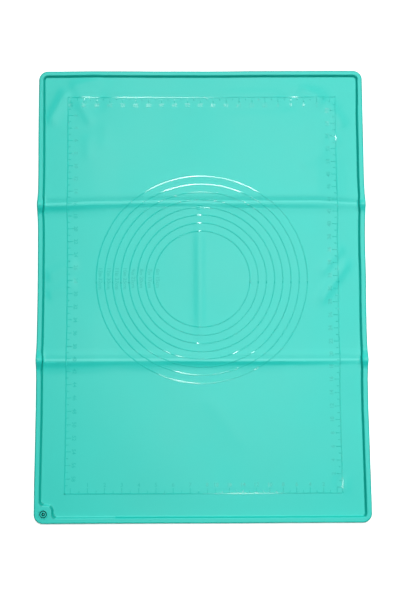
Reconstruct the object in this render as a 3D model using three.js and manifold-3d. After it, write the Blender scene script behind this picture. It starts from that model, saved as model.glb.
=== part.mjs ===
// A silicone pastry mat with a raised rim, lying open with two fold creases across it.
// Millimetres, +Z up, X across the mat, +Y towards the end that has no hanging hole.
// The sheet is laid out flat first, and every place on it is then carried over the two creases.
import * as THREE from "three";
import { mergeVertices } from "three/addons/utils/BufferGeometryUtils.js";
import Module from "manifold-3d";

const wasm = await Module();
wasm.setup();

// The flat moulding
const MAT_WIDTH = 500;
const MAT_LENGTH = 695;
const SHEET_THICKNESS = 1;
const CORNER_RADIUS = 14;
const CORNER_STEPS = 8;

// The rim bead, from its outer wall inwards
const RIM_HEIGHT = 5;
const BEAD_WIDTH = 7;
const BEAD_ROUND = 1.6;
const WALL_RUN = 2.6;
const BEAD_STEPS = 3;

// The two creases, placed along the flat sheet
const UPPER_PANEL_LENGTH = 209;
const LOWER_PANEL_LENGTH = 242.3;
const CREASE_HEIGHT = 6.5;
const CREASE_HALF_WIDTH = 20;
const CREST_ROUND = 2;
const FLANK_STEPS = 7;

// The thick corner with the hanging hole
const PAD_SIZE = 27.5;
const PAD_INNER_RADIUS = 9;
const PAD_EDGE_ROUND = 1;
const HOLE_INSET = 14;
const HOLE_DIAMETER = 6.6;
const HOLE_STEPS = 24;

// The raised guide lines: concentric rings and a ruler frame. Its marks are a centimetre apart,
// except on the left half of the bottom ruler, where they are half an inch apart.
const RELIEF_HEIGHT = 0.4;
const LINE_WIDTH = 1.5;
const RELIEF_ROOT = 0.3;
const LARGEST_RING = 322;
const RING_STEP = 25;
const RING_COUNT = 8;
const RING_CENTRE_SHIFT = 20;
const RING_SIDES = 60;
const FRAME_INSET_LEFT = 45;
const FRAME_INSET_RIGHT = 42;
const FRAME_INSET_TOP = 41;
const FRAME_INSET_BOTTOM = 43.5;
const FIRST_MARK_INSET = 8.5;
const MARK_PITCH = 10;
const HALF_INCH = 12.7;
const INCH_RULER_LENGTH = 220;
const LONG_MARK = 8;
const SHORT_MARK = 4.5;
const MARK_WIDTH = 1.1;

// A margin by which a cutter passes a face
const PAST = 5;

const SILICONE = { color: 0x4fd5c8, roughness: 0.5, metalness: 0 };

// Half of a crease's section: height over the distance from the crest, with a round crest and a fading foot
const softened = (distance) => Math.hypot(distance, CREST_ROUND) - CREST_ROUND;
const footDistance = softened(CREASE_HALF_WIDTH);

function creaseHeight(distance) {
  return CREASE_HEIGHT * (1 - softened(distance) / footDistance) ** 2;
}

function creaseSlope(distance) {
  const share = 1 - softened(distance) / footDistance;
  const run = distance / Math.hypot(distance, CREST_ROUND);
  return (-2 * CREASE_HEIGHT * share * run) / footDistance;
}

// Stations down one flank, closer together at the crest, with the length of sheet used so far
const flank = [];
for (let i = 0; i <= FLANK_STEPS; i++) {
  const distance = CREASE_HALF_WIDTH * (i / FLANK_STEPS) ** 1.5;
  const height = creaseHeight(distance);
  const before = flank.at(-1);
  const used = before
    ? before.used + Math.hypot(distance - before.distance, height - before.height)
    : 0;
  flank.push({ distance, height, slope: creaseSlope(distance), used });
}
const flankLength = flank.at(-1).used;
const flankTakeUp = flankLength - CREASE_HALF_WIDTH;

// The mat as it lies, shortened by what its creases take up
const lyingLength = MAT_LENGTH - 4 * flankTakeUp;
const endY = lyingLength / 2;
const sideX = MAT_WIDTH / 2;
const creases = {
  upper: { flat: MAT_LENGTH / 2 - UPPER_PANEL_LENGTH, y: endY - UPPER_PANEL_LENGTH + flankTakeUp },
  lower: { flat: LOWER_PANEL_LENGTH - MAT_LENGTH / 2, y: LOWER_PANEL_LENGTH - flankTakeUp - endY },
};

// The distance from the crest at which a given length of sheet has been used
function distanceAt(length) {
  const next = flank.findIndex((station) => station.used >= length);
  if (next <= 0) return next === 0 ? 0 : CREASE_HALF_WIDTH + length - flankLength;
  const from = flank[next - 1];
  const to = flank[next];
  return from.distance + ((to.distance - from.distance) * (length - from.used)) / (to.used - from.used);
}

// Where a place along the flat sheet comes to lie
function lyingY(flat) {
  const middle = (creases.upper.flat + creases.lower.flat) / 2;
  const crease = flat > middle ? creases.upper : creases.lower;
  const beyond = flat - crease.flat;
  return crease.y + Math.sign(beyond) * distanceAt(Math.abs(beyond));
}

// Stations across a whole crease: places on the sheet's underside, with the direction up from it
function creaseStations(crease) {
  const stations = [];
  for (const side of [-1, 1]) {
    const ordered = side < 0 ? flank.slice(1).reverse() : flank;
    for (const { distance, height, slope } of ordered) {
      const up = new THREE.Vector2(-side * slope, 1).normalize();
      stations.push({ y: crease.y + side * distance, z: height, up });
    }
  }
  return stations;
}

// Solids

function toSolid(geometry) {
  const bare = geometry.index ? geometry.toNonIndexed() : geometry.clone();
  for (const name of Object.keys(bare.attributes)) if (name !== "position") bare.deleteAttribute(name);
  const merged = mergeVertices(bare, 1e-4);
  return new wasm.Manifold(
    new wasm.Mesh({
      numProp: 3,
      vertProperties: merged.attributes.position.array,
      triVerts: new Uint32Array(merged.index.array),
    }),
  );
}

function toGeometry(solid) {
  const mesh = solid.getMesh();
  const geometry = new THREE.BufferGeometry();
  geometry.setAttribute("position", new THREE.BufferAttribute(mesh.vertProperties, 3));
  geometry.setIndex(new THREE.BufferAttribute(mesh.triVerts, 1));
  geometry.computeVertexNormals();
  return geometry;
}

// A flat outline raised from one height to another
function upright(shape, bottom, top) {
  const settings = { depth: top - bottom, bevelEnabled: false, curveSegments: CORNER_STEPS };
  const geometry = new THREE.ExtrudeGeometry(shape, settings);
  return geometry.translate(0, 0, bottom);
}

// A section in the YZ plane carried right across the mat
function across(points) {
  const shape = new THREE.Shape(points.map(({ y, z }) => new THREE.Vector2(y, z)));
  const geometry = new THREE.ExtrudeGeometry(shape, { depth: MAT_WIDTH, bevelEnabled: false });
  const axes = new THREE.Matrix4().makeBasis(
    new THREE.Vector3(0, 1, 0),
    new THREE.Vector3(0, 0, 1),
    new THREE.Vector3(1, 0, 0),
  );
  return geometry.applyMatrix4(axes).translate(-sideX, 0, 0);
}

// A closed loft of one section along stations that each give a place, an inward and an upward direction
function sweep(section, stations) {
  const corners = section.length;
  const positions = [];
  for (const { origin, inward, up } of stations) {
    for (const { x, y } of section) {
      const point = origin.clone().addScaledVector(inward, x).addScaledVector(up, y);
      positions.push(point.x, point.y, point.z);
    }
  }
  const faces = [];
  for (let s = 0; s + 1 < stations.length; s++) {
    for (let c = 0; c < corners; c++) {
      const a = s * corners + c;
      const b = s * corners + ((c + 1) % corners);
      faces.push(a, a + corners, b, b, a + corners, b + corners);
    }
  }
  const last = (stations.length - 1) * corners;
  for (const [a, b, c] of THREE.ShapeUtils.triangulateShape(section, [])) {
    faces.push(a, b, c);
    faces.push(last + a, last + c, last + b);
  }
  const geometry = new THREE.BufferGeometry();
  geometry.setAttribute("position", new THREE.Float32BufferAttribute(positions, 3));
  geometry.setIndex(faces);
  return geometry;
}

// The guide lines

// A plan outline of points on the flat sheet, as the mat lies
const lyingPlan = (points) => points.map(([x, flat]) => new THREE.Vector2(x, lyingY(flat)));

function circlePoints(radius) {
  const points = [];
  for (let i = 0; i < RING_SIDES; i++) {
    const angle = (2 * Math.PI * i) / RING_SIDES;
    points.push([radius * Math.cos(angle), RING_CENTRE_SHIFT + radius * Math.sin(angle)]);
  }
  return points;
}

const frame = {
  left: FRAME_INSET_LEFT - sideX,
  right: sideX - FRAME_INSET_RIGHT,
  top: MAT_LENGTH / 2 - FRAME_INSET_TOP,
  bottom: FRAME_INSET_BOTTOM - MAT_LENGTH / 2,
};

// The frame's corners, moved outwards by a margin, with extra points on its long sides where the sheet bends
function framePoints(margin) {
  const bends = [];
  for (const crease of [creases.lower, creases.upper]) {
    for (const side of [-1, 1]) bends.push(crease.flat + side * flankLength);
  }
  const up = [frame.bottom - margin, ...bends, frame.top + margin];
  const right = up.map((flat) => [frame.right + margin, flat]);
  const left = up.map((flat) => [frame.left - margin, flat]);
  return [...right, ...left.reverse()];
}

function band(outer, inner) {
  const shape = new THREE.Shape(lyingPlan(outer));
  shape.holes.push(new THREE.Path(lyingPlan(inner)));
  return shape;
}

function markShape(x, flat, width, height) {
  const left = x - width / 2;
  const bottom = flat - height / 2;
  const corners = [[left, bottom], [left + width, bottom], [left + width, bottom + height], [left, bottom + height]];
  return new THREE.Shape(lyingPlan(corners));
}

// Distances of the marks from one end of a ruler, each with its length
function rulerMarks(length, pitch) {
  const marks = [];
  for (let place = FIRST_MARK_INSET; place < length - FIRST_MARK_INSET / 2; place += pitch) {
    const even = Math.round((place - FIRST_MARK_INSET) / pitch) % 2 === 0;
    marks.push({ place, reach: even ? LONG_MARK : SHORT_MARK });
  }
  return marks;
}

function guideLines() {
  const shapes = [];
  for (let i = 0; i < RING_COUNT; i++) {
    const radius = (LARGEST_RING - i * RING_STEP) / 2;
    shapes.push(band(circlePoints(radius + LINE_WIDTH / 2), circlePoints(radius - LINE_WIDTH / 2)));
  }
  shapes.push(band(framePoints(LINE_WIDTH / 2), framePoints(-LINE_WIDTH / 2)));
  for (const { place, reach } of rulerMarks(frame.top - frame.bottom, MARK_PITCH)) {
    shapes.push(markShape(frame.left + reach / 2, frame.top - place, reach, MARK_WIDTH));
    shapes.push(markShape(frame.right - reach / 2, frame.bottom + place, reach, MARK_WIDTH));
  }
  const frameWidth = frame.right - frame.left;
  for (const { place, reach } of rulerMarks(frameWidth, MARK_PITCH)) {
    shapes.push(markShape(frame.right - place, frame.top - reach / 2, MARK_WIDTH, reach));
  }
  for (const { place, reach } of rulerMarks(INCH_RULER_LENGTH, HALF_INCH)) {
    shapes.push(markShape(frame.left + place, frame.bottom + reach / 2, MARK_WIDTH, reach));
  }
  for (const { place, reach } of rulerMarks(frameWidth - INCH_RULER_LENGTH, MARK_PITCH)) {
    shapes.push(markShape(frame.right - place, frame.bottom + reach / 2, MARK_WIDTH, reach));
  }
  const top = CREASE_HEIGHT + RIM_HEIGHT + PAST;
  return shapes.map((shape) => toSolid(upright(shape, -PAST, top))).reduce((all, next) => all.add(next));
}

// The sheet, in three flat panels and two creases

function outline() {
  const shape = new THREE.Shape();
  const x = sideX - CORNER_RADIUS;
  const y = endY - CORNER_RADIUS;
  shape.absarc(x, y, CORNER_RADIUS, 0, Math.PI / 2);
  shape.absarc(-x, y, CORNER_RADIUS, Math.PI / 2, Math.PI);
  shape.absarc(-x, -y, CORNER_RADIUS, Math.PI, 1.5 * Math.PI);
  shape.absarc(x, -y, CORNER_RADIUS, 1.5 * Math.PI, 2 * Math.PI);
  return shape;
}

const rectangle = (fromY, toY) => [
  { y: fromY, z: -PAST },
  { y: toY, z: -PAST },
  { y: toY, z: PAST + SHEET_THICKNESS + RELIEF_HEIGHT },
  { y: fromY, z: PAST + SHEET_THICKNESS + RELIEF_HEIGHT },
];

// A layer of the mat between two heights over its underside, from one place to another
function flatLayer(bottom, top, fromY, toY) {
  const whole = toSolid(upright(outline(), bottom, top));
  return whole.intersect(toSolid(across(rectangle(fromY, toY))));
}

function creaseLayer(bottom, top, crease) {
  const stations = creaseStations(crease);
  const lifted = (height) => stations.map(({ y, z, up }) => ({ y: y + up.x * height, z: z + up.y * height }));
  return toSolid(across([...lifted(bottom), ...lifted(top).reverse()]));
}

function withGuideLines(layer, lines) {
  const sheet = layer(0, SHEET_THICKNESS);
  const raised = layer(SHEET_THICKNESS - RELIEF_ROOT, SHEET_THICKNESS + RELIEF_HEIGHT);
  return sheet.add(raised.intersect(lines));
}

const upperFoot = [creases.upper.y - CREASE_HALF_WIDTH, creases.upper.y + CREASE_HALF_WIDTH];
const lowerFoot = [creases.lower.y - CREASE_HALF_WIDTH, creases.lower.y + CREASE_HALF_WIDTH];

const holeX = HOLE_INSET - sideX;
const holeY = HOLE_INSET - endY;

function holeCutter() {
  const height = RIM_HEIGHT + 2 * PAST;
  const cylinder = new THREE.CylinderGeometry(HOLE_DIAMETER / 2, HOLE_DIAMETER / 2, height, HOLE_STEPS);
  return toSolid(cylinder.rotateX(Math.PI / 2).translate(holeX, holeY, RIM_HEIGHT / 2));
}

// The rim bead, which stands on the border of the sheet

function beadSection() {
  const crown = RIM_HEIGHT - BEAD_ROUND;
  const shape = new THREE.Shape();
  shape.moveTo(BEAD_WIDTH + WALL_RUN, SHEET_THICKNESS);
  shape.lineTo(BEAD_WIDTH, crown);
  shape.absarc(BEAD_WIDTH - BEAD_ROUND, crown, BEAD_ROUND, 0, Math.PI / 2);
  shape.absarc(BEAD_ROUND, crown, BEAD_ROUND, Math.PI / 2, Math.PI);
  shape.lineTo(0, SHEET_THICKNESS);
  return shape.extractPoints(BEAD_STEPS).shape;
}

const upward = new THREE.Vector3(0, 0, 1);

// Stations along a side edge, where side is -1 for left and 1 for right
function sideStation(side, y, z = 0, up = upward) {
  return { origin: new THREE.Vector3(side * sideX, y, z), inward: new THREE.Vector3(-side, 0, 0), up };
}

function endStation(end, x) {
  return { origin: new THREE.Vector3(x, end * endY, 0), inward: new THREE.Vector3(0, -end, 0), up: upward };
}

// Stations round a corner, from the side edge to the end edge
function cornerStations(side, end) {
  const stations = [];
  for (let i = 0; i <= CORNER_STEPS; i++) {
    const angle = (Math.PI / 2) * (i / CORNER_STEPS);
    const inward = new THREE.Vector3(-side * Math.cos(angle), -end * Math.sin(angle), 0);
    const centre = new THREE.Vector3(side * (sideX - CORNER_RADIUS), end * (endY - CORNER_RADIUS), 0);
    stations.push({ origin: centre.addScaledVector(inward, -CORNER_RADIUS), inward, up: upward });
  }
  return stations;
}

function creaseRim(side, crease) {
  return creaseStations(crease).map(({ y, z, up }) => sideStation(side, y, z, new THREE.Vector3(0, up.x, up.y)));
}

function rim(stations) {
  const solid = toSolid(sweep(beadSection(), stations));
  return solid.volume() > 0 ? solid : toSolid(sweep(beadSection(), stations.slice().reverse()));
}

// The thick corner stands on the sheet between the left and the bottom rim
function cornerPad() {
  const left = -sideX;
  const bottom = -endY;
  const shape = new THREE.Shape();
  shape.moveTo(left, bottom + PAD_SIZE);
  shape.lineTo(left, bottom + CORNER_RADIUS);
  shape.absarc(left + CORNER_RADIUS, bottom + CORNER_RADIUS, CORNER_RADIUS, Math.PI, 1.5 * Math.PI);
  shape.lineTo(left + PAD_SIZE, bottom);
  const inner = PAD_SIZE - PAD_INNER_RADIUS;
  shape.absarc(left + inner, bottom + inner, PAD_INNER_RADIUS, 0, Math.PI / 2);
  const block = new THREE.ExtrudeGeometry(shape, {
    depth: RIM_HEIGHT + PAST - 2 * PAD_EDGE_ROUND,
    bevelThickness: PAD_EDGE_ROUND,
    bevelSize: PAD_EDGE_ROUND,
    bevelOffset: -PAD_EDGE_ROUND,
    bevelSegments: BEAD_STEPS,
    curveSegments: CORNER_STEPS,
  });
  block.translate(0, 0, PAD_EDGE_ROUND - PAST);
  const above = upright(outline(), SHEET_THICKNESS, RIM_HEIGHT + PAST);
  return toSolid(block).intersect(toSolid(above)).subtract(holeCutter());
}

// The assembly

const mat = new THREE.Group();

function addPiece(name, solid) {
  const mesh = new THREE.Mesh(toGeometry(solid), new THREE.MeshStandardMaterial(SILICONE));
  mesh.name = name;
  mat.add(mesh);
}

const lines = guideLines();
const panelLayer = (fromY, toY) => (bottom, top) => flatLayer(bottom, top, fromY, toY);

addPiece("upper_panel", withGuideLines(panelLayer(upperFoot[1], endY + PAST), lines));
addPiece("middle_panel", withGuideLines(panelLayer(lowerFoot[1], upperFoot[0]), lines));
addPiece(
  "lower_panel",
  withGuideLines(panelLayer(-endY - PAST, lowerFoot[0]), lines).subtract(holeCutter()),
);
for (const [name, crease] of Object.entries(creases)) {
  addPiece(name + "_crease", withGuideLines((bottom, top) => creaseLayer(bottom, top, crease), lines));
}

for (const [hand, side] of [["left", -1], ["right", 1]]) {
  addPiece("upper_rim_" + hand, rim([sideStation(side, upperFoot[1]), ...cornerStations(side, 1)]));
  addPiece("upper_crease_rim_" + hand, rim(creaseRim(side, creases.upper)));
  addPiece("middle_rim_" + hand, rim([sideStation(side, lowerFoot[1]), sideStation(side, upperFoot[0])]));
  addPiece("lower_crease_rim_" + hand, rim(creaseRim(side, creases.lower)));
}
const cornerX = sideX - CORNER_RADIUS;
addPiece("upper_rim_top", rim([endStation(1, -cornerX), endStation(1, cornerX)]));
addPiece("lower_rim_left", rim([sideStation(-1, lowerFoot[0]), sideStation(-1, PAD_SIZE - endY)]));
addPiece("lower_rim_right", rim([sideStation(1, lowerFoot[0]), ...cornerStations(1, -1)]));
addPiece("lower_rim_bottom", rim([endStation(-1, PAD_SIZE - sideX), endStation(-1, cornerX)]));
addPiece("corner_pad", cornerPad());

export default mat;
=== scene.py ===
"""Looks of the silicone pastry mat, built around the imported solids.

Every surface is laid out flat first, as the mat comes out of its mould: x runs across the mat and v along it,
in millimetres from the middle. place() then lays it down over the two fold creases and the soft wrinkles.
North is towards the end that has no hanging hole, which is +v and +y.
"""

import math

import bpy
import numpy as np
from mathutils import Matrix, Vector


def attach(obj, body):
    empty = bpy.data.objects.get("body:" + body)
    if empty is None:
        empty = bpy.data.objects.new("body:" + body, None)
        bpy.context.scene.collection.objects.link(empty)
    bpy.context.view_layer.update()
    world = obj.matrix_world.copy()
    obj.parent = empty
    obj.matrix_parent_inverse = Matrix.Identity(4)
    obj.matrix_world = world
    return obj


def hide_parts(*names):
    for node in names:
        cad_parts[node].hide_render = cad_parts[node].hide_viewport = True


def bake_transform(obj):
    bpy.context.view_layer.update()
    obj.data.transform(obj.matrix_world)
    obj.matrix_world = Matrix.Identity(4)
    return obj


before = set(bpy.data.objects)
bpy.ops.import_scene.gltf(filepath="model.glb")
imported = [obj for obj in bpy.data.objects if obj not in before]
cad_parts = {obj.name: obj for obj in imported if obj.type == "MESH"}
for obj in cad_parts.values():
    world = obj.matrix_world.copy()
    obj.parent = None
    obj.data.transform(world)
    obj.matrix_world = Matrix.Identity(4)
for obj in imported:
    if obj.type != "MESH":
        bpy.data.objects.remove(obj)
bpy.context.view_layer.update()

MM = 0.001

# The flat mat, as in the part's source
MAT_WIDTH = 500.0
MAT_LENGTH = 695.0
SHEET_THICKNESS = 1.0
CORNER_RADIUS = 14.0
UPPER_PANEL_LENGTH = 209.0
LOWER_PANEL_LENGTH = 242.3
CREASE_HEIGHT = 6.5
CREASE_HALF_WIDTH = 20.0
CREST_ROUND = 2.0
PAD_SIZE = 27.5
PAD_INNER_RADIUS = 9.0
HOLE_INSET = 14.0
RIM_HEIGHT = 5.0
LARGEST_RING = 322.0
RING_STEP = 25.0
RING_COUNT = 8
RING_CENTRE = (0.0, 20.0)
FRAME_INSET_LEFT = 45.0
FRAME_INSET_RIGHT = 42.0
FRAME_INSET_TOP = 41.0
FRAME_INSET_BOTTOM = 43.5
INCH_RULER_LENGTH = 220.0
FIRST_MARK_INSET = 8.5

# The raised rim's section: where its inner wall runs, measured from the mat's edge. At the top end it is nearer
# to the edge
WALL_MIDDLE = 8.9
WALL_RUN = 3.7
WALL_TOP_SHIFT = 0.7
WALL_SHIFT_START = 270.0
WALL_SHIFT_RUN = 50.0
EDGE_ROUND = 1.9
PAD_FILLET = 7.0

# Where the mat's painted shade and painted light lie: the wall's share to each side of its middle that is painted
# with shade, how squarely a wall faces north to lose its painted shade and up to which x it is painted light then,
# and the widths of the painted shade along the outer edge and of the painted highlight along the crests
WALL_SHADE_SHARE = 0.5
NORTH_FACING = 0.82
PAINTED_LIGHT_WALL_END = -130.0
EDGE_SHADE_LINE = 1.6
CREST_HIGHLIGHT_LINE = 1.5

# The raised lines and figures
LINE_WIDTH = 1.8
LINE_HEIGHT = 0.42
LINE_ROOT = 0.15
LINE_PITCH = 2.0
RING_PITCH = 2.5
LONG_MARK = 8.0
SHORT_MARK = 4.5
MARK_PITCH = 10.0
MARK_WIDTH = 1.1
INCH = 25.4
FIGURE_SIZE = 8.2
RING_FIGURE_SIZE = 8.0
FIGURE_INSET = LONG_MARK + 4.6
FIGURE_BOLD = 0.012
FIGURE_ROOT = 0.1

# The looks are made in two halves, which meet here
SPLIT_V = 14.0

HALF_W = MAT_WIDTH / 2
HALF_L = MAT_LENGTH / 2
UPPER_CREST_V = HALF_L - UPPER_PANEL_LENGTH
LOWER_CREST_V = LOWER_PANEL_LENGTH - HALF_L
HOLE_X = HOLE_INSET - HALF_W
HOLE_V = HOLE_INSET - HALF_L
HOLE_CUT = 6.6


def ease(t):
    """A smooth step from 0 to 1 with flat ends."""
    t = np.clip(t, 0.0, 1.0)
    return t * t * t * (t * (6 * t - 15) + 10)


def softened(d):
    return np.hypot(d, CREST_ROUND) - CREST_ROUND


def ridge(d, height, reach):
    """Height of a sharp ridge with a round crest, at a distance d from the crest."""
    return height * np.clip(1 - softened(d) / softened(reach), 0, None) ** 2


# The lying mat's length: how much of it each crease takes up
CREASE_STEPS = 400
PAST_EDGE = 5.0


def lying_table():
    """Flat v against lying y, over both creases."""
    d = np.linspace(-CREASE_HALF_WIDTH, CREASE_HALF_WIDTH, CREASE_STEPS + 1)
    z = ridge(d, CREASE_HEIGHT, CREASE_HALF_WIDTH)
    arc = np.concatenate([[0], np.cumsum(np.hypot(np.diff(d), np.diff(z)))])
    take_up = arc[-1] - 2 * CREASE_HALF_WIDTH
    shift = take_up
    v_parts = [[-HALF_L - PAST_EDGE]]
    y_parts = [[-HALF_L - PAST_EDGE + shift]]
    for crest in (LOWER_CREST_V, UPPER_CREST_V):
        v = crest - arc[-1] / 2 + arc
        v_parts.append(v)
        y_parts.append(v[0] + shift + d + CREASE_HALF_WIDTH)
        shift -= take_up
    v_parts.append([HALF_L + PAST_EDGE])
    y_parts.append([HALF_L + PAST_EDGE + shift])
    return np.concatenate(v_parts), np.concatenate(y_parts)


TABLE_V, TABLE_Y = lying_table()


def lying_y(v):
    return np.interp(v, TABLE_V, TABLE_Y)


UPPER_CREST_Y = float(lying_y(UPPER_CREST_V))
LOWER_CREST_Y = float(lying_y(LOWER_CREST_V))

# How the folds lie, by stations across the mat: steepest slope of the south side and how far from the crest it
# is, where the tail begins and its slope, where the tail ends, then the slopes to the north: of the upper fold's
# dip, or of the lower fold's top and of its north side
UPPER_STATIONS = {
    -212: (0.46, 6.0, 15.0, 0.10, 25.0, 0.18),
    -166: (0.38, 5.5, 15.0, 0.13, 27.0, 0.20),
    -126: (0.36, 5.0, 11.0, 0.14, 25.0, 0.21),
    -80: (0.36, 5.0, 9.5, 0.15, 25.0, 0.24),
    -42: (0.35, 4.3, 8.0, 0.11, 22.0, 0.25),
    14: (0.24, 5.5, 10.0, 0.07, 20.0, 0.24),
    48: (0.35, 5.5, 11.0, 0.12, 22.0, 0.27),
    94: (0.32, 6.0, 10.6, 0.12, 22.0, 0.28),
    178: (0.28, 6.8, 12.0, 0.11, 22.0, 0.28),
    223: (0.15, 6.0, 10.0, 0.09, 19.0, 0.20),
}
LOWER_STATIONS = {
    -212: (0.32, 6.5, 14.0, 0.15, 25.0, 0.02, -0.16),
    -166: (0.32, 5.3, 12.0, 0.17, 24.0, 0.02, -0.16),
    -126: (0.30, 5.0, 9.0, 0.17, 20.0, 0.02, -0.16),
    -80: (0.26, 5.5, 14.0, 0.13, 21.0, 0.02, -0.16),
    -42: (0.39, 4.5, 9.0, 0.16, 18.0, 0.02, -0.16),
    14: (0.40, 4.3, 12.0, 0.15, 17.0, -0.08, -0.05),
    48: (0.43, 4.5, 9.0, 0.17, 19.0, 0.02, -0.16),
    94: (0.38, 4.5, 9.0, 0.14, 20.0, 0.02, -0.16),
    139: (0.34, 4.5, 9.0, 0.08, 15.0, 0.02, -0.16),
    178: (0.26, 4.5, 9.0, 0.08, 14.0, 0.02, -0.16),
    223: (0.14, 4.5, 8.0, 0.04, 13.0, 0.02, -0.16),
}
# The stations between which each fold's height to the north is evened out
UPPER_EVENED = (-80, 178)
LOWER_EVENED = (-80, 94)
UPPER_LONG_SLOPE = 0.055
LOWER_LONG_SLOPE = 0.03
CREST_SLOPE = -0.12
STEEP_HALF_WIDTH = 1.5
APRON_LENGTH = 50.0
APRON_SOFT = 10.0
LEAST_RAISED = 0.4
RUN_OUT_SOFT = 12.0
FOLD_STEPS = np.arange(-90, 200, 0.2)
FOLD_STEP = FOLD_STEPS[1] - FOLD_STEPS[0]

# How far south of a straight line each crest runs, by places across the mat
UPPER_BEND = {
    -250: 2.0, -212: 1.2, -166: -0.6, -126: -0.9, -80: -2.0, 94: -1.2, 178: -1.4, 223: 1.2, 250: 2.0,
}
LOWER_BEND = {-250: -1.2, -40: -1.2, 20: -0.4, 250: -0.2}

# The folds arch up where they cross the rim
UPPER_ARCH = 4.0
LOWER_ARCH = 4.5
ARCH_REACH = 16.0
ARCH_START = 234.0
ARCH_RUN = 14.0


def looked_up(table, at):
    """The value of a table at a place between its entries."""
    return np.interp(at, list(table), list(table.values()))


def south_side(steep, steep_at, tail_at, tail, end_at):
    far, near = -steep_at - STEEP_HALF_WIDTH, -steep_at + STEEP_HALF_WIDTH
    return [(-end_at, 0.0), (-tail_at, tail), (far, steep), (near, steep)]


def upper_stops(row):
    """Distances north of the crest with the slopes there."""
    dip = row[5]
    crest = [(-1.9, 0.0), (-1.1, CREST_SLOPE), (1.2, CREST_SLOPE), (2.0, 0.0)]
    north = [(2.8, dip), (6, dip), (9, 0.6 * dip), (12, 0.0), (15, -UPPER_LONG_SLOPE)]
    return south_side(*row[:5]) + crest + north


def lower_stops(row):
    top, side = row[5:]
    crest = [(-1.6, 0.0), (-0.8, CREST_SLOPE), (1.2, CREST_SLOPE)]
    north = [(2.2, top), (6.5, top), (9, 0.8 * side), (11, side), (14, 0.7 * side), (19, -LOWER_LONG_SLOPE)]
    return south_side(*row[:5]) + crest + north


def run_out(slopes, begin, long_slope):
    """Heights from slopes. The long slope to the north runs on until it is down on the table."""
    foot = begin + slopes.sum() * FOLD_STEP / long_slope
    soft = min(RUN_OUT_SOFT, foot - begin)
    ends = [begin, begin + FOLD_STEP, foot - soft, foot + soft]
    falling = np.interp(FOLD_STEPS, ends, [0, -long_slope, -long_slope, 0], left=0.0, right=0.0)
    return np.cumsum(slopes + falling) * FOLD_STEP


def fold_heights(stations, stops, long_slope, evened):
    """Heights over one fold at FOLD_STEPS for each station. The height left at the end of the stops is brought
    in line between the two evened stations, and kept off the table elsewhere, by a faint apron to the south."""
    slopes = {x: np.interp(FOLD_STEPS, *zip(*stops(row)), left=0.0, right=0.0) for x, row in stations.items()}
    raised = {x: row.sum() * FOLD_STEP for x, row in slopes.items()}
    heights = {}
    for x, row in stations.items():
        wanted = max(raised[x], LEAST_RAISED)
        if evened[0] < x < evened[1]:
            wanted = np.interp(x, evened, [raised[e] for e in evened])
        apron = (wanted - raised[x]) / APRON_LENGTH
        foot = stops(row)[0][0]
        far = foot - APRON_LENGTH
        ends = [far - APRON_SOFT, far + APRON_SOFT, foot - APRON_SOFT, foot + APRON_SOFT]
        with_apron = slopes[x] + np.interp(FOLD_STEPS, ends, [0, apron, apron, 0])
        heights[x] = run_out(with_apron, stops(row)[-1][0], long_slope)
    return heights


UPPER_HEIGHTS = fold_heights(UPPER_STATIONS, upper_stops, UPPER_LONG_SLOPE, UPPER_EVENED)
LOWER_HEIGHTS = fold_heights(LOWER_STATIONS, lower_stops, LOWER_LONG_SLOPE, LOWER_EVENED)


def between_stations(heights, x, d):
    stations = np.array(list(heights))
    total = 0.0
    for n, row in enumerate(heights.values()):
        share = np.interp(x, stations, np.eye(len(stations))[n])
        total = total + share * np.interp(d, FOLD_STEPS, row)
    return total


def upper_distance(x, y):
    """Distance north of the upper fold's crest."""
    return y - UPPER_CREST_Y + looked_up(UPPER_BEND, x)


def lower_distance(x, y):
    """Distance north of the lower fold's crest."""
    return y - LOWER_CREST_Y + looked_up(LOWER_BEND, x)


def folds(x, y):
    """Height of both folds."""
    at_rim = ease((np.abs(x) - ARCH_START) / ARCH_RUN)
    d = upper_distance(x, y)
    upper = between_stations(UPPER_HEIGHTS, x, d) + ridge(d, UPPER_ARCH * at_rim, ARCH_REACH)
    d = lower_distance(x, y)
    lower = between_stations(LOWER_HEIGHTS, x, d) + ridge(d, LOWER_ARCH * at_rim, ARCH_REACH)
    return upper + lower


# Soft wrinkles left by the packing: from point to point on the flat mat, with height and half width
WRINKLES = [
    (-3, 112, -3, -72, 1.3, 8),
    (-236, 262, -205, 322, 1.3, 9),
    (-205, 322, -150, 336, 1.0, 8),
    (-188, 300, -168, 262, 0.8, 7),
    (-174, 250, -174, 205, 0.4, 8),
    (-146, 268, -150, 222, 0.3, 8),
    (150, 322, 196, 300, 1.1, 10),
    (196, 300, 222, 255, 1.2, 9),
    (176, -22, 226, 52, 1.6, 8),
    (180, 24, 216, 72, 1.2, 8),
    (2, -156, 66, -242, 0.35, 10),
    (-240, 22, -188, 46, 0.9, 9),
    (-238, -6, -190, 16, 0.8, 9),
    (150, 196, 196, 222, 0.6, 9),
]
# A wrinkle fades over this share of its length, and starts this far into its fade
WRINKLE_FADE = 0.3
WRINKLE_START = 0.2

# Small patches where the sheet leans: middle, half sizes, and slopes along x and v
LEANS = [
    (-172, 302, 22, 16, -0.053, 0.016),
    (-48, 305, 78, 12, 0.0, 0.024),
    (80, 300, 54, 16, 0.0, 0.060),
    (156, 303, 30, 16, 0.052, 0.004),
    (204, 239, 9, 8, 0.076, -0.026),
    (207, -291, 10, 12, 0.075, 0.0),
    (-3, 131, 3, 3, 0.0, -0.300),
    (-3, 118, 4, 4, 0.0, -0.095),
    (-3, 105.5, 4, 4, 0.0, -0.077),
    (-3, 93.5, 4, 4, 0.0, -0.050),
    (-6, -78, 4, 4, 0.0, -0.119),
]

# The upper third bows up to both sides of a line along it
BOW_HEIGHT = 2.2
BOW_LINE_X = -48.0
BOW_HALF_WIDTH = 75.0
BOW_START_V = 150.0
BOW_RUN = 100.0

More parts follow.
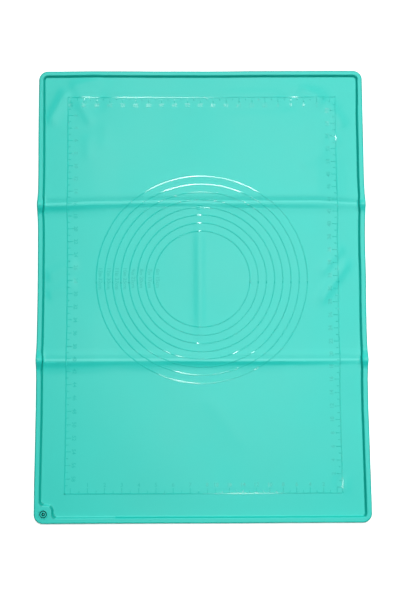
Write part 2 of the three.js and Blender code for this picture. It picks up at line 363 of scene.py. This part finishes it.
# The whole sheet ripples faintly, but not at its edges: one ripple is square to the mat and one is slanted
RIPPLE_HEIGHT = 0.12
RIPPLE_FADE = 60.0
SQUARE_X = 23.0
SQUARE_V = 31.0
SQUARE_START_X = 1.1
SQUARE_START_V = 0.4
SLANT_X = 37.0
SLANT_V = 29.0
SLANT_SHARE = 0.8


def lift(x, v):
    """How far the lying mat stands off the table, apart from its folds."""
    total = np.zeros(np.broadcast(x, v).shape)
    for x0, v0, x1, v1, height, half in WRINKLES:
        ax, av = x1 - x0, v1 - v0
        long2 = ax * ax + av * av
        t = ((x - x0) * ax + (v - v0) * av) / long2
        across = ((x - x0) * av - (v - v0) * ax) / math.sqrt(long2)
        fade = ease(t / WRINKLE_FADE + WRINKLE_START) * ease((1 - t) / WRINKLE_FADE + WRINKLE_START)
        total = total + height * np.exp(-((across / half) ** 2)) * fade
    for x0, v0, half_x, half_v, slope_x, slope_v in LEANS:
        window = np.exp(-(((x - x0) / half_x) ** 4) - ((v - v0) / half_v) ** 4)
        total = total + (slope_x * (x - x0) + slope_v * (v - v0)) * window
    beside = 1 - np.exp(-(((x - BOW_LINE_X) / BOW_HALF_WIDTH) ** 2))
    total = total + BOW_HEIGHT * beside * ease((v - BOW_START_V) / BOW_RUN)
    square = np.sin(x / SQUARE_X + SQUARE_START_X) * np.sin(v / SQUARE_V + SQUARE_START_V)
    slant = np.sin(x / SLANT_X + v / SLANT_V)
    ripple = RIPPLE_HEIGHT * (square + SLANT_SHARE * slant + 1 + SLANT_SHARE)
    inside = ease((HALF_W - np.abs(x)) / RIPPLE_FADE) * ease((HALF_L - np.abs(v)) / RIPPLE_FADE)
    return total + ripple * inside


# How far the lying mat's outline strays from a rectangle: left and right edge towards +x, by v, and top and bottom
# edge towards +y, by x
STRAY_LEFT = {
    -347: 0.1, -290: 0.0, -255: 0.4, -210: 0.75, -180: 1.0, -136: 0.9, -121: 0.6, -106: 0.85, -91: 0.8,
    -76: 1.3, -50: 1.4, 10: 1.45, 60: 1.1, 92: 0.85, 108: 0.4, 123: -0.4, 139: -0.2, 155: 0.8, 200: 0.7,
    217: 0.5, 250: 0.0, 347: -0.1,
}
STRAY_RIGHT = {
    -347: 0.4, -313: 0.3, -284: -0.1, -240: -0.6, -210: -0.8, -180: -1.35, -136: -1.25, -121: -0.6,
    -106: -0.2, -91: -0.4, -76: -0.8, -60: -1.0, -15: -0.8, 16: -0.3, 31: -0.2, 62: -0.5, 92: -0.15,
    108: 0.4, 123: 1.3, 139: 1.2, 155: 0.5, 170: 0.2, 250: 0.0, 347: 0.2,
}
STRAY_TOP = {
    -250: -0.3, -215: -0.2, -180: 0.2, -100: 0.4, -30: 0.4, 10: -0.1, 40: -0.2, 80: 0.0, 130: 0.05,
    200: 0.15, 250: 0.0,
}
STRAY_BOTTOM = {-250: -0.1, -150: -0.1, -50: -0.3, 0: -0.5, 50: -0.6, 120: -0.5, 200: -0.6, 250: -0.7}
LEAN_STEP = 0.25


def standing(x, v):
    """Height of the lying mat's underside, in millimetres."""
    return folds(x, lying_y(v)) + lift(x, v)


def place(x, v, h):
    """Lays flat points, h above the mat's underside, down on the table. Gives metres."""
    x, v, h = np.broadcast_arrays(np.asarray(x, float), np.asarray(v, float), np.asarray(h, float))
    y = lying_y(v)
    z = standing(x, v)
    lean_x = (standing(x + LEAN_STEP, v) - standing(x - LEAN_STEP, v)) / (2 * LEAN_STEP)
    lean_y = (standing(x, v + LEAN_STEP) - standing(x, v - LEAN_STEP)) / (2 * LEAN_STEP)
    up = h / np.sqrt(1 + lean_x**2 + lean_y**2)
    stray_x = np.where(x < 0, looked_up(STRAY_LEFT, v), looked_up(STRAY_RIGHT, v)) * np.abs(x) / HALF_W
    stray_y = np.where(v > 0, looked_up(STRAY_TOP, x), looked_up(STRAY_BOTTOM, x)) * np.abs(v) / HALF_L
    return np.stack([x + stray_x - up * lean_x, y + stray_y - up * lean_y, z + up], axis=-1) * MM


def edge_distance(x, v):
    """Distance in from the mat's outline."""
    qx = np.abs(x) - (HALF_W - CORNER_RADIUS)
    qv = np.abs(v) - (HALF_L - CORNER_RADIUS)
    outside = np.hypot(np.maximum(qx, 0), np.maximum(qv, 0))
    return CORNER_RADIUS - outside - np.minimum(np.maximum(qx, qv), 0)


def pad_distance(x, v):
    """Signed distance from the corner pad's plan, less than 0 inside it."""
    qx = x + HALF_W - PAD_SIZE + PAD_INNER_RADIUS
    qv = v + HALF_L - PAD_SIZE + PAD_INNER_RADIUS
    outside = np.hypot(np.maximum(qx, 0), np.maximum(qv, 0))
    return outside + np.minimum(np.maximum(qx, qv), 0) - PAD_INNER_RADIUS


def wall_distance(x, v):
    """Signed distance inwards from the middle of the wall that the rim and the corner pad share."""
    rim = edge_distance(x, v) - WALL_MIDDLE + WALL_TOP_SHIFT * ease((v - WALL_SHIFT_START) / WALL_SHIFT_RUN)
    pad = pad_distance(x, v)
    blend = np.clip(0.5 + 0.5 * (pad - rim) / PAD_FILLET, 0, 1)
    return pad * (1 - blend) + rim * blend - PAD_FILLET * blend * (1 - blend)


# The numbers of the mat's materials: plain, painted shade and painted light
PLAIN, PAINTED_SHADE_TONE, PAINTED_LIGHT_TONE = 0, 1, 2
FACING_STEP = 0.05


def painted_light_and_shade(x, v):
    """Which of the mat's materials a place has: painted shade on the outer edge and on the wall, but not where the
    wall faces north, where it is painted light towards the left, and a painted highlight along the crests of the
    folds."""
    from_wall = wall_distance(x, v)
    north = (wall_distance(x, v + FACING_STEP) - wall_distance(x, v - FACING_STEP)) / (2 * FACING_STEP)
    y = lying_y(v)
    crest = np.minimum(np.abs(upper_distance(x, y)), np.abs(lower_distance(x, y))) < CREST_HIGHLIGHT_LINE
    tones = np.where(crest & (from_wall > WALL_RUN), PAINTED_LIGHT_TONE, PLAIN)
    wall_painted_light_and_shade = np.where(north < NORTH_FACING, PAINTED_SHADE_TONE, np.where(x < PAINTED_LIGHT_WALL_END, PAINTED_LIGHT_TONE, PLAIN))
    tones = np.where(np.abs(from_wall) < WALL_RUN * WALL_SHADE_SHARE, wall_painted_light_and_shade, tones)
    return np.where(edge_distance(x, v) < EDGE_SHADE_LINE, PAINTED_SHADE_TONE, tones)


def top_height(x, v):
    """Height of the mat's face above its underside."""
    wall = 1 - ease((wall_distance(x, v) + WALL_RUN / 2) / WALL_RUN)
    height = SHEET_THICKNESS + (RIM_HEIGHT - SHEET_THICKNESS) * wall
    left = np.clip(EDGE_ROUND - edge_distance(x, v), 0, EDGE_ROUND)
    return height - EDGE_ROUND + np.sqrt(EDGE_ROUND**2 - left**2)


class Builder:
    """Gathers points and faces for one mesh."""

    def __init__(self):
        self.points, self.faces, self.count = [], [], 0

    def add(self, points, faces):
        self.points.append(np.asarray(points, float).reshape(-1, 3))
        self.faces.extend([tuple(i + self.count for i in f) for f in faces])
        self.count += len(self.points[-1])

    def make(self, name, *materials, smooth=True, tones=None):
        """One object. tones gives each face the number of its material."""
        mesh = bpy.data.meshes.new(name)
        mesh.from_pydata(np.concatenate(self.points).tolist(), [], self.faces)
        mesh.polygons.foreach_set("use_smooth", [smooth] * len(mesh.polygons))
        for material in materials:
            mesh.materials.append(material)
        if tones is not None:
            mesh.polygons.foreach_set("material_index", [int(number) for number in tones])
        mesh.update()
        piece = bpy.data.objects.new(name, mesh)
        bpy.context.collection.objects.link(piece)
        return piece


def spaced(stops):
    """Grid lines from (position, pitch) stops: each span is cut to at most its pitch."""
    lines = [stops[0][0]]
    for (a, pitch), (b, _) in zip(stops, stops[1:]):
        n = max(1, math.ceil((b - a) / pitch - 1e-9))
        lines.extend(a + (b - a) * (i + 1) / n for i in range(n))
    return np.array(lines)


def crease_rows(crest):
    return [(crest - 27, 1.5), (crest - 12, 0.6), (crest + 9, 1.5), (crest + 27, 3.5)]


# The grid inside the border. It is finer by the corner pad, along the lengthwise wrinkle and over the creases
INNER_X = HALF_W - CORNER_RADIUS
INNER_V = HALF_L - CORNER_RADIUS
COLUMNS = spaced([(-INNER_X, 0.75), (-INNER_X + 19, 3.5), (-14, 1.5), (10, 3.5), (INNER_X, 1)])
ROWS = spaced([(-INNER_V, 0.75), (-INNER_V + 19, 3.5)] + crease_rows(LOWER_CREST_V) + [(SPLIT_V, 3.5)]
              + crease_rows(UPPER_CREST_V) + [(INNER_V, 1)])

# The border's stops: distances in from the edge on the face, and distances and heights under it and up its side.
# They are closest on the rim's wall
TOP_STEPS = np.array([0, 0.08, 0.25, 0.5, 0.9, 1.6, 2.2, 4.6, 5.5, 6.1, 6.6, 7.0, 7.4, 7.8, 8.2, 8.6, 9.0,
                      9.4, 9.8, 10.3, 10.9, 12])
UNDER_STEPS = np.array([(7.0, 0.0), (0.5, 0.0), (0.12, 0.14), (0.0, 0.5), (0.0, 2.0)])
CORNER_STEPS = 14


def band_stations():
    """The border's stations in order round the mat: grid column and row, and the outward direction."""
    last_x, last_v = len(COLUMNS) - 1, len(ROWS) - 1
    stations = []
    sides = [
        ([(i, 0) for i in range(last_x + 1)], -90),
        ([(last_x, j) for j in range(last_v + 1)], 0),
        ([(i, last_v) for i in range(last_x, -1, -1)], 90),
        ([(0, j) for j in range(last_v, -1, -1)], 180),
    ]
    for cells, angle in sides:
        stations.extend((i, j, angle) for i, j in cells)
        i, j = cells[-1]
        stations.extend((i, j, angle + 90 * k / CORNER_STEPS) for k in range(1, CORNER_STEPS))
    return stations


def mat_mesh():
    """Flat points (x, v, h) and faces of the whole mat."""
    nx, nv = len(COLUMNS), len(ROWS)
    gx, gv = np.meshgrid(COLUMNS, ROWS)
    flat = [np.stack([gx, gv, top_height(gx, gv)], -1).reshape(-1, 3),
            np.stack([gx, gv, np.zeros_like(gx)], -1).reshape(-1, 3)]
    grid = nx * nv
    faces = []
    for j in range(nv - 1):
        for i in range(nx - 1):
            a = j * nx + i
            faces.append((a, a + 1, a + 1 + nx, a + nx))
            faces.append((grid + a, grid + a + nx, grid + a + 1 + nx, grid + a + 1))
    count = 2 * grid
    inward = np.concatenate([UNDER_STEPS[:, 0], TOP_STEPS])
    rings = []
    for i, j, angle in band_stations():
        px = COLUMNS[i] + math.cos(math.radians(angle)) * (CORNER_RADIUS - inward)
        pv = ROWS[j] + math.sin(math.radians(angle)) * (CORNER_RADIUS - inward)
        h = top_height(px, pv)
        h[:len(UNDER_STEPS)] = UNDER_STEPS[:, 1]
        flat.append(np.stack([px, pv, h], -1))
        ids = list(range(count, count + len(inward)))
        count += len(ids)
        rings.append([grid + j * nx + i] + ids + [j * nx + i])
    for a, b in zip(rings, rings[1:] + rings[:1]):
        for k in range(len(a) - 1):
            face = [a[k], b[k], b[k + 1], a[k + 1]]
            face = [p for n, p in enumerate(face) if p not in face[:n]]
            faces.append(tuple(face))
    return np.concatenate(flat), faces


def mat_pieces(*materials):
    """The mat's two halves, open only where the eyelet goes."""
    flat, faces = mat_mesh()
    hole = np.hypot(flat[:, 0] - HOLE_X, flat[:, 1] - HOLE_V)
    pieces = []
    for name, upper in (("mat_upper", True), ("mat_lower", False)):
        kept = []
        for f in faces:
            ids = list(f)
            if (flat[ids, 1].mean() > SPLIT_V) == upper and hole[ids].max() > HOLE_CUT:
                kept.append(f)
        used = np.unique(np.concatenate([np.array(f) for f in kept]))
        renumber = np.full(len(flat), -1)
        renumber[used] = np.arange(len(used))
        p = flat[used]
        builder = Builder()
        builder.add(place(p[:, 0], p[:, 1], p[:, 2]), [tuple(renumber[list(f)]) for f in kept])
        middles = np.array([flat[list(f)].mean(axis=0) for f in kept])
        on_face = middles[:, 2] > 0.9 * SHEET_THICKNESS
        tones = np.where(on_face, painted_light_and_shade(middles[:, 0], middles[:, 1]), PLAIN)
        pieces.append(builder.make(name, *materials, tones=tones))
    return pieces


# The hanging hole with the groove round it: radius and height, in order from the underside up through the
# hole
EYELET_OUTSIDE = HOLE_CUT + 0.7
EYELET_SECTION = [
    (EYELET_OUTSIDE, 0.02), (1.4, 0.02), (1.05, 0.12), (1.0, 0.5), (2.5, 4.6), (2.75, 4.95), (3.1, 5.1),
    (3.9, 5.1), (4.15, 4.95), (4.25, 4.5), (4.3, 2.9), (4.5, 2.6), (5.2, 2.6), (5.4, 2.9), (5.5, 4.4),
    (5.6, 4.85), (5.9, 5.02), (EYELET_OUTSIDE, 5.02),
]
# The stretches of that section painted near black as shade: the hole's wall and the groove
EYELET_SHADED = {3, 8, 9, 10, 11, 12, 13, 14}
EYELET_SIDES = 48


def eyelet(sheet, shaded):
    builder = Builder()
    turns = np.arange(EYELET_SIDES) * 2 * math.pi / EYELET_SIDES
    section = np.array(EYELET_SECTION)
    n = len(section)
    px = HOLE_X + np.cos(turns)[:, None] * section[None, :, 0]
    pv = HOLE_V + np.sin(turns)[:, None] * section[None, :, 0]
    faces = []
    for s in range(EYELET_SIDES):
        t = (s + 1) % EYELET_SIDES
        faces.extend((s * n + k, s * n + (k + 1) % n, t * n + (k + 1) % n, t * n + k) for k in range(n))
    builder.add(place(px, pv, np.broadcast_to(section[:, 1], px.shape)), faces)
    in_shade = [k in EYELET_SHADED for k in range(n)] * EYELET_SIDES
    return builder.make("hanging_eyelet", sheet, shaded, tones=in_shade)


# One side of a raised line's section: distances in from its foot, and heights
LINE_SIDE = [(0.0, -LINE_ROOT), (0.07, 0.7 * LINE_HEIGHT), (0.24, LINE_HEIGHT), (0.32, LINE_HEIGHT)]


def line_section(width):
    left = [(inward - width / 2, height) for inward, height in LINE_SIDE]
    return left + [(-across, height) for across, height in reversed(left)]


def ribbon(builder, path, width):
    """A raised line along an open flat path, closed at both ends."""
    path = np.asarray(path, float)
    along = np.gradient(path, axis=0)
    along /= np.hypot(along[:, 0], along[:, 1])[:, None]
    section = np.array(line_section(width))
    n = len(section)
    px = path[:, None, 0] - along[:, None, 1] * section[None, :, 0]
    pv = path[:, None, 1] + along[:, None, 0] * section[None, :, 0]
    h = np.broadcast_to(SHEET_THICKNESS + section[:, 1], px.shape)
    faces = []
    for s in range(len(path) - 1):
        a, b = s * n, (s + 1) * n
        faces.extend((a + k, b + k, b + (k + 1) % n, a + (k + 1) % n) for k in range(n))
    faces.append(tuple(range(n)))
    faces.append(tuple(range((len(path) - 1) * n, len(path) * n))[::-1])
    builder.add(place(px, pv, h), faces)


def straight(a, b):
    n = max(1, math.ceil(math.dist(a, b) / LINE_PITCH))
    return [(a[0] + (b[0] - a[0]) * k / n, a[1] + (b[1] - a[1]) * k / n) for k in range(n + 1)]


def half_of(v):
    return "upper" if v > SPLIT_V else "lower"


def long_line(builders, a, b, width):
    """A straight raised line, parted where the mat's two pieces meet."""
    if (a[1] - SPLIT_V) * (b[1] - SPLIT_V) < 0:
        cut = (a[0] + (b[0] - a[0]) * (SPLIT_V - a[1]) / (b[1] - a[1]), SPLIT_V)
        long_line(builders, a, cut, width)
        long_line(builders, cut, b, width)
        return
    ribbon(builders[half_of((a[1] + b[1]) / 2)], straight(a, b), width)


def ring(builders, diameter):
    """A ring in two arcs, parted where the mat's two pieces meet."""
    r = diameter / 2
    low = math.asin((SPLIT_V - RING_CENTRE[1]) / r)
    for name, start, end in (("upper", low, math.pi - low), ("lower", math.pi - low, 2 * math.pi + low)):
        n = math.ceil((end - start) * r / RING_PITCH)
        turns = [start + (end - start) * k / n for k in range(n + 1)]
        path = [(RING_CENTRE[0] + r * math.cos(t), RING_CENTRE[1] + r * math.sin(t)) for t in turns]
        ribbon(builders[name], path, LINE_WIDTH)


FIGURE_CACHE = {}


def figure_shape(text):
    """Flat outline mesh of a short text, 1 unit tall type, centred: points with z at 0 or 1, and faces."""
    if text not in FIGURE_CACHE:
        curve = bpy.data.curves.new("figure", "FONT")
        curve.body = text
        curve.align_x, curve.align_y = "CENTER", "CENTER"
        curve.resolution_u = 3
        curve.extrude = 0.5
        curve.offset = FIGURE_BOLD
        holder = bpy.data.objects.new("figure", curve)
        bpy.context.collection.objects.link(holder)
        solid = holder.evaluated_get(bpy.context.evaluated_depsgraph_get())
        mesh = bpy.data.meshes.new_from_object(solid)
        points = np.array([p.co for p in mesh.vertices])
        faces = [tuple(f.vertices) for f in mesh.polygons]
        bpy.data.objects.remove(holder)
        bpy.data.curves.remove(curve)
        bpy.data.meshes.remove(mesh)
        points[:, 2] += 0.5
        FIGURE_CACHE[text] = (points, faces)
    return FIGURE_CACHE[text]


def figure(builders, text, x, v, angle, size):
    points, faces = figure_shape(text)
    c, s = math.cos(math.radians(angle)), math.sin(math.radians(angle))
    px = x + size * (points[:, 0] * c - points[:, 1] * s)
    pv = v + size * (points[:, 0] * s + points[:, 1] * c)
    h = SHEET_THICKNESS - FIGURE_ROOT + points[:, 2] * (LINE_HEIGHT + FIGURE_ROOT)
    builders[half_of(v)].add(place(px, pv, h), faces)


FRAME_LEFT = FRAME_INSET_LEFT - HALF_W
FRAME_RIGHT = HALF_W - FRAME_INSET_RIGHT
FRAME_TOP = HALF_L - FRAME_INSET_TOP
FRAME_BOTTOM = FRAME_INSET_BOTTOM - HALF_L
FRAME_WIDTH = FRAME_RIGHT - FRAME_LEFT
FRAME_LENGTH = FRAME_TOP - FRAME_BOTTOM

# Each ruler: its zero corner, the directions along it and inwards, length, pitch, number per long mark, and the
# turn of its figures
RULERS = [
    ((FRAME_LEFT, FRAME_TOP), (0, -1), (1, 0), FRAME_LENGTH, MARK_PITCH, 2, -90),
    ((FRAME_RIGHT, FRAME_BOTTOM), (0, 1), (-1, 0), FRAME_LENGTH, MARK_PITCH, 2, 90),
    ((FRAME_RIGHT, FRAME_TOP), (-1, 0), (0, -1), FRAME_WIDTH, MARK_PITCH, 2, 180),
    ((FRAME_LEFT, FRAME_BOTTOM), (1, 0), (0, 1), INCH_RULER_LENGTH, INCH / 2, 1, 0),
    ((FRAME_RIGHT, FRAME_BOTTOM), (-1, 0), (0, 1), FRAME_WIDTH - INCH_RULER_LENGTH, MARK_PITCH, 2, 0),
]


def ruler(lines, figures, start, along, inward, length, pitch, number_step, angle):
    """Marks and figures along one side: every other mark is long and carries a figure."""
    room = length - FIRST_MARK_INSET * 1.5
    for n in range(math.ceil(room / pitch)):
        at = FIRST_MARK_INSET + n * pitch
        x, v = start[0] + along[0] * at, start[1] + along[1] * at
        is_long = n % 2 == 0
        reach = LONG_MARK if is_long else SHORT_MARK
        mark = straight((x, v), (x + inward[0] * reach, v + inward[1] * reach))
        ribbon(lines[half_of(v)], mark, MARK_WIDTH)
        if is_long and n > 0:
            text = str(n // 2 * number_step)
            figure_x, figure_v = x + inward[0] * FIGURE_INSET, v + inward[1] * FIGURE_INSET
            figure(figures, text, figure_x, figure_v, angle, FIGURE_SIZE)


def guide_pieces(line_material, figure_material):
    """The raised lines and figures on each half of the mat."""
    lines = {"upper": Builder(), "lower": Builder()}
    figures = {"upper": Builder(), "lower": Builder()}
    corners = [(FRAME_LEFT, FRAME_BOTTOM), (FRAME_RIGHT, FRAME_BOTTOM),
               (FRAME_RIGHT, FRAME_TOP), (FRAME_LEFT, FRAME_TOP)]
    for a, b in zip(corners, corners[1:] + corners[:1]):
        long_line(lines, a, b, LINE_WIDTH)
    for k in range(RING_COUNT):
        across = LARGEST_RING - k * RING_STEP
        ring(lines, across)
        text = f"{across / INCH:.0f}in {across / 10:.0f}cm"
        beside = RING_CENTRE[0] - across / 2 + RING_STEP / 4
        figure(figures, text, beside, RING_CENTRE[1] + 1, -90, RING_FIGURE_SIZE)
    for one in RULERS:
        ruler(lines, figures, *one)
    made = []
    for half in ("upper", "lower"):
        made.append(lines[half].make(f"guide_lines_{half}", line_material))
        made.append(figures[half].make(f"guide_figures_{half}", figure_material, smooth=False))
    return made


# The silicone's clouded colour and its fine grain, and the gradients painted over the colour: painted shade on the
# sheet towards the left and a little towards the top, and painted sheen on the raised lines towards the upper
# right
CLOUD_SCALE = 7.0
CLOUD_DETAIL = 5.0
GRAIN_SCALE = 900.0
GRAIN_DETAIL = 2.0
GRAIN_DEPTH = 0.0002
SHEET_PAINTED_SHADE_GRADIENT = (1.2, -0.4, 0.0)
LINE_PAINTED_SHEEN_GRADIENT = (1.0, 1.3, 0.0)
WHOLE_SPAN = (0.0, 1.0)
LINE_PAINTED_SHEEN_SPAN = (0.75, 1.0)


def silicone(name, dark, light, roughness, specular, grain=0.0, painted_gradient_by=SHEET_PAINTED_SHADE_GRADIENT, span=WHOLE_SPAN):
    """Moulded silicone: slightly clouded colour with a gradient across it that is painted light and shade, uneven
    sheen and a fine moulded grain.
    """
    material = bpy.data.materials.new(name)
    material.use_nodes = True
    nodes, links = material.node_tree.nodes, material.node_tree.links
    shader = nodes["Principled BSDF"]
    shader.inputs["Specular IOR Level"].default_value = specular
    where = nodes.new("ShaderNodeTexCoord")
    cloud = nodes.new("ShaderNodeTexNoise")
    cloud.inputs["Scale"].default_value = CLOUD_SCALE
    cloud.inputs["Detail"].default_value = CLOUD_DETAIL
    links.new(where.outputs["Object"], cloud.inputs["Vector"])
    colour = nodes.new("ShaderNodeValToRGB")
    for element, position, shade in zip(colour.color_ramp.elements, span, (dark, light)):
        element.position = position
        element.color = (*shade, 1)
    painted_gradient = nodes.new("ShaderNodeVectorMath")
    painted_gradient.operation = "DOT_PRODUCT"
    painted_gradient.inputs[1].default_value = painted_gradient_by
    links.new(where.outputs["Object"], painted_gradient.inputs[0])
    mixed = nodes.new("ShaderNodeMath")
    mixed.operation = "ADD"
    links.new(cloud.outputs["Fac"], mixed.inputs[0])
    links.new(painted_gradient.outputs["Value"], mixed.inputs[1])
    links.new(mixed.outputs["Value"], colour.inputs["Fac"])
    links.new(colour.outputs["Color"], shader.inputs["Base Color"])
    haze = nodes.new("ShaderNodeMapRange")
    haze.inputs["To Min"].default_value = roughness[0]
    haze.inputs["To Max"].default_value = roughness[1]
    links.new(cloud.outputs["Fac"], haze.inputs["Value"])
    links.new(haze.outputs["Result"], shader.inputs["Roughness"])
    fine = nodes.new("ShaderNodeTexNoise")
    fine.inputs["Scale"].default_value = GRAIN_SCALE
    fine.inputs["Detail"].default_value = GRAIN_DETAIL
    links.new(where.outputs["Object"], fine.inputs["Vector"])
    bump = nodes.new("ShaderNodeBump")
    bump.inputs["Strength"].default_value = grain
    bump.inputs["Distance"].default_value = GRAIN_DEPTH
    links.new(fine.outputs["Fac"], bump.inputs["Height"])
    links.new(bump.outputs["Normal"], shader.inputs["Normal"])
    return material


# The mat's silicone, plain and with painted shade and painted light, the shade painted into the eyelet, and the
# glossier raised lines and figures
MATT = (0.46, 0.54)
# The plain sheet is painted a little darker towards the left and the top, as painted shade where less light falls
SHEET = silicone("silicone_matt", (0.005, 0.526, 0.443), (0.006, 0.582, 0.496), MATT, 0.46, grain=0.2)
# Painted shade: a darker tone on the rim's inner wall and the outer edge, where the walls turn away from the light
PAINTED_SHADE = silicone("silicone_painted_shade", (0.002, 0.362, 0.296), (0.003, 0.400, 0.331), MATT, 0.26)
# Painted light: a paler tone as a painted highlight along the fold crests and as painted light on north-facing
# walls towards the left
PAINTED_LIGHT = silicone("silicone_painted_light", (0.032, 0.570, 0.487), (0.036, 0.625, 0.542), MATT, 0.46)
# Painted shade: a near black for the eyelet's hole wall and groove
SHADE = silicone("silicone_shade", (0.001, 0.090, 0.070), (0.001, 0.105, 0.082), (0.50, 0.58), 0.2)
# The raised lines and figures are painted paler towards the upper right, a painted sheen that makes them fade into
# the sheet there
GLOSS = silicone("silicone_gloss", (0.028, 0.530, 0.450), (0.052, 0.575, 0.497), (0.12, 0.14), 0.12,
                 painted_gradient_by=LINE_PAINTED_SHEEN_GRADIENT, span=LINE_PAINTED_SHEEN_SPAN)
FIGURES = silicone("silicone_figures", (0.023, 0.505, 0.427), (0.050, 0.570, 0.492), (0.24, 0.28), 0.2,
                   painted_gradient_by=LINE_PAINTED_SHEEN_GRADIENT, span=LINE_PAINTED_SHEEN_SPAN)

mat_upper, mat_lower = mat_pieces(SHEET, PAINTED_SHADE, PAINTED_LIGHT)
ring_eyelet = eyelet(SHEET, SHADE)
guides = guide_pieces(GLOSS, FIGURES)


def bend_upper(piece):
    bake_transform(piece)


def bend_lower(piece):
    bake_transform(piece)


bend_upper(mat_upper)
bend_lower(mat_lower)
for guide in guides:
    if guide.name.endswith("upper"):
        bend_upper(guide)
    else:
        bend_lower(guide)
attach(ring_eyelet, "lower")
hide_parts("upper_panel", "upper_crease", "middle_panel", "upper_rim_left", "upper_rim_right",
            "upper_rim_top", "upper_crease_rim_left", "upper_crease_rim_right", "middle_rim_left",
            "middle_rim_right")
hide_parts("lower_panel", "lower_crease", "lower_crease_rim_left", "lower_crease_rim_right",
            "lower_rim_left", "lower_rim_right", "lower_rim_bottom", "corner_pad")

# The floor, in metres. It glows faintly, so that it stays white out to the horizon, but not under the mat
FLOOR_SIZE = 60.0
FLOOR_Z = -0.0004
FLOOR_WHITE = 0.9
FLOOR_ROUGHNESS = 0.9
GLOW_NEAR = 0.35
GLOW_NEAR_RUN = (-0.012, -0.004)
GLOW_FAR = 1.0
GLOW_FAR_RUN = (0.6, 3.0)


def white_floor():
    material = bpy.data.materials.new("white_floor")
    material.use_nodes = True
    nodes, links = material.node_tree.nodes, material.node_tree.links
    shader = nodes["Principled BSDF"]
    shader.inputs["Base Color"].default_value = (FLOOR_WHITE, FLOOR_WHITE, FLOOR_WHITE, 1)
    shader.inputs["Roughness"].default_value = FLOOR_ROUGHNESS
    shader.inputs["Emission Color"].default_value = (1, 1, 1, 1)

    def math_node(operation, *values):
        node = nodes.new("ShaderNodeMath")
        node.operation = operation
        for socket, value in zip(node.inputs, values):
            if isinstance(value, float):
                socket.default_value = value
            else:
                links.new(value, socket)
        return node.outputs["Value"]

    def ramp(value, run, to):
        node = nodes.new("ShaderNodeMapRange")
        node.inputs["From Min"].default_value, node.inputs["From Max"].default_value = run
        node.inputs["To Max"].default_value = to
        links.new(value, node.inputs["Value"])
        return node.outputs["Result"]

    parts = nodes.new("ShaderNodeSeparateXYZ")
    links.new(nodes.new("ShaderNodeTexCoord").outputs["Object"], parts.inputs["Vector"])
    beyond_x = math_node("SUBTRACT", math_node("ABSOLUTE", parts.outputs["X"]), HALF_W * MM)
    beyond_y = math_node("SUBTRACT", math_node("ABSOLUTE", parts.outputs["Y"]), HALF_L * MM)
    beyond = math_node("MAXIMUM", beyond_x, beyond_y)
    near = ramp(beyond, GLOW_NEAR_RUN, GLOW_NEAR)
    far = ramp(beyond, GLOW_FAR_RUN, GLOW_FAR - GLOW_NEAR)
    links.new(math_node("ADD", near, far), shader.inputs["Emission Strength"])
    return material


bpy.ops.mesh.primitive_plane_add(size=FLOOR_SIZE, location=(0, 0, FLOOR_Z))
floor = bpy.context.object
floor.name = "floor"
floor.data.materials.append(white_floor())

# Each light: name, place, what it points at, width, height and power. The lamps are small, so that the raised
# lines glint where they mirror them
LIGHTS = [
    ("key_strip", (0.094, 1.881, 5.0), (0.0, 0.1, 0.0), 0.65, 0.11, 122.0),
    ("overhead_softbox", (0.5, 0.12, 2.4), (0.0, 0.0, 0.0), 1.0, 1.0, 15.5),
    ("north_softbox", (2.0, 2.9, 3.1), (0.0, 0.0, 0.0), 2.4, 1.4, 51.0),
    ("small_lamp", (-0.022, -0.014, 2.0), (-0.022, -0.014, 0.0), 0.10, 0.065, 5.8),
    ("south_lamp", (0.176, -0.382, 2.0), (0.07, -0.3, 0.0), 0.13, 0.05, 4.6),
    ("pale_card", (0.313, 0.886, 2.4), (0.1, 0.2, 0.0), 0.47, 0.45, 1.0),
]


def area_light(name, place_at, aim, width, height, power):
    data = bpy.data.lights.new(name, "AREA")
    data.shape = "RECTANGLE"
    data.size, data.size_y = width, height
    data.energy = power
    lamp = bpy.data.objects.new(name, data)
    bpy.context.collection.objects.link(lamp)
    lamp.location = place_at
    direction = Vector(aim) - Vector(place_at)
    lamp.rotation_euler = direction.to_track_quat("-Z", "Y").to_euler()


for light in LIGHTS:
    area_light(*light)

# The surroundings are white at the horizon and dim overhead
SKY_LOW = 1.0
SKY_HIGH = 0.06
SKY_FALL_END = 0.16


def surroundings():
    world = bpy.context.scene.world or bpy.data.worlds.new("studio")
    bpy.context.scene.world = world
    world.use_nodes = True
    nodes, links = world.node_tree.nodes, world.node_tree.links
    nodes["Background"].inputs["Color"].default_value = (1, 1, 1, 1)
    parts = nodes.new("ShaderNodeSeparateXYZ")
    links.new(nodes.new("ShaderNodeTexCoord").outputs["Generated"], parts.inputs["Vector"])
    fall = nodes.new("ShaderNodeMapRange")
    fall.inputs["From Max"].default_value = SKY_FALL_END
    fall.inputs["To Min"].default_value = SKY_LOW
    fall.inputs["To Max"].default_value = SKY_HIGH
    links.new(parts.outputs["Z"], fall.inputs["Value"])
    links.new(fall.outputs["Result"], nodes["Background"].inputs["Strength"])


surroundings()
bpy.context.scene.view_settings.view_transform = "Standard"

# The camera at the photograph's angle, fitted to the mat's corners
CAMERA_PLACE = (-0.01972, -0.22955, 1.69735)
CAMERA_TURN = (0.126872, -0.009756, -0.005163)
CAMERA_SENSOR = 36.0
CAMERA_LENS = 67.59
CAMERA_NEAREST = 0.01
camera = bpy.data.objects.new("camera", bpy.data.cameras.new("camera"))
bpy.context.collection.objects.link(camera)
camera.location = CAMERA_PLACE
camera.rotation_euler = CAMERA_TURN
camera.data.sensor_width = CAMERA_SENSOR
camera.data.lens = CAMERA_LENS
camera.data.clip_start = CAMERA_NEAREST
bpy.context.scene.camera = camera
